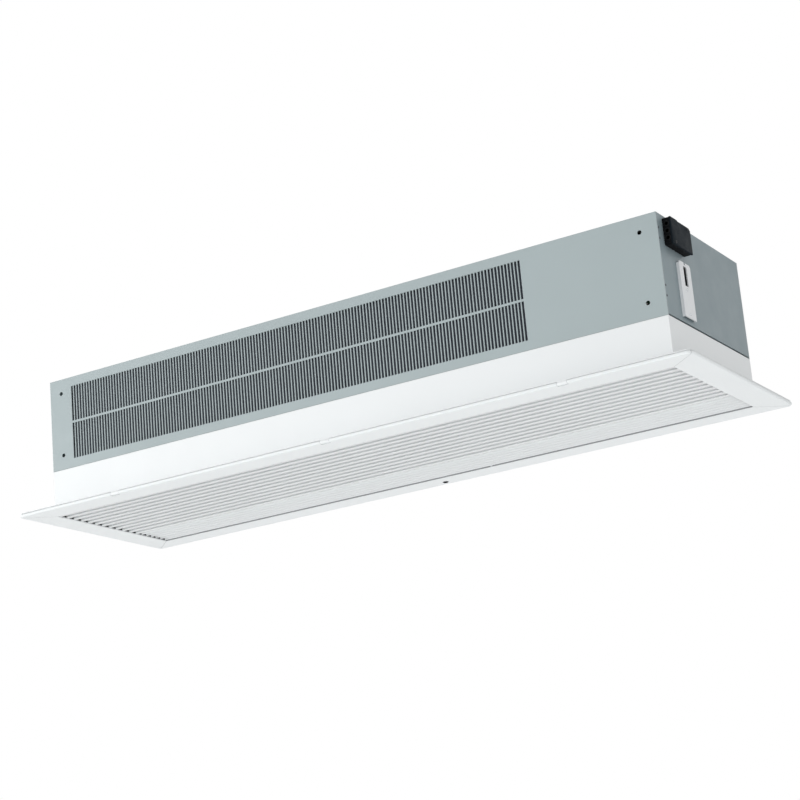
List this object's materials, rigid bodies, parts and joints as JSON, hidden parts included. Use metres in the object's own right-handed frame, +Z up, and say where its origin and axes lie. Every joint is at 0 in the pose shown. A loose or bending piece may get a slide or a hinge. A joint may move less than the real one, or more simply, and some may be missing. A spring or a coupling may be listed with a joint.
{
  "type": "air curtain",
  "caption": "Ceiling-recessed air curtain: slotted sheet casing on a white collar, with a hinged louvre face and a cross-flow fan and heater inside.",
  "frame": {"origin": "centre of the top side of the flange that lies under the ceiling", "axes": "+Z up into the ceiling void; X along the length, with the terminal box at +X; the slotted front faces -Y and the outlet is along the +Y edge"},
  "size_m": [1.08, 0.34, 0.2085],
  "materials": {
    "casing_paint": "satin grey paint on folded sheet",
    "galvanised": "galvanised sheet",
    "collar_white": "white powder coat on folded sheet",
    "face_white": "white powder coat on extruded aluminium",
    "aluminium": "mill finish",
    "steel": "zinc plated",
    "dark_steel": "blackened",
    "black_plastic": "moulded, fine texture",
    "rubber": "matt",
    "board_green": "solder mask",
    "relay_blue": "moulded",
    "white_plastic": "moulded"
  },
  "bodies": {
    "root": {"front_panel": "casing_paint", "back_panel": "casing_paint", "top_panel": "casing_paint", "left_end_plate": "casing_paint", "right_end_plate": "casing_paint", "bay_partition": "galvanised", "ceiling_collar": "collar_white", "collar_gasket": "rubber", "collar_screws": "steel", "collar_nuts": "steel", "corner_rivets": "dark_steel", "suspension_nuts": "galvanised", "suspension_brackets": "galvanised", "bracket_screws": "steel", "terminal_box": "black_plastic", "terminal_box_cover": "black_plastic", "cable_ports": "rubber", "terminal_box_screws": "steel", "scroll_wall": "galvanised", "cutoff_plate": "galvanised", "fan_cheek": "galvanised", "heater_tubes": "steel", "heater_bracket": "galvanised", "overheat_cutout": "black_plastic", "fan_bearing": "steel", "bearing_housing": "galvanised", "motor_casing": "aluminium", "motor_cradle": "galvanised", "motor_straps": "galvanised", "control_board": "board_green", "board_relays": "relay_blue", "board_standoffs": "white_plastic", "terminal_strip": "white_plastic", "run_capacitor": "aluminium", "bay_cover": "galvanised", "bay_cover_screws": "steel", "hinge_knuckles": "collar_white", "hinge_pins": "steel", "lock_nut_plate": "galvanised"},
    "grille_door": {"front_rail": "face_white", "back_rail": "face_white", "left_rail": "face_white", "right_rail": "face_white", "corner_keys": "aluminium", "intake_bars": "face_white", "outlet_vanes": "face_white", "cross_rods": "aluminium", "end_seals": "rubber", "outlet_seals": "rubber", "lock_bush": "steel"},
    "lock": {"lock_screw": "steel"},
    "fan": {"fan_impeller": "aluminium", "fan_hubs": "rubber", "fan_stub_shaft": "steel", "motor_shaft": "steel"}
  },
  "joints": [
    {"name": "grille_hinge", "type": "hinge", "parent": "root", "child": "grille_door", "pos_m": [0, -0.1675, -0.004], "axis": [-1, 0, 0], "range_deg": [0, 90]},
    {"name": "lock_turn", "type": "hinge", "parent": "grille_door", "child": "lock", "pos_m": [0, 0.155, -0.005], "axis": [0, 0, 1], "continuous": true},
    {"name": "fan_spin", "type": "hinge", "parent": "root", "child": "fan", "pos_m": [0, 0.038, 0.128], "axis": [1, 0, 0], "continuous": true}
  ]
}
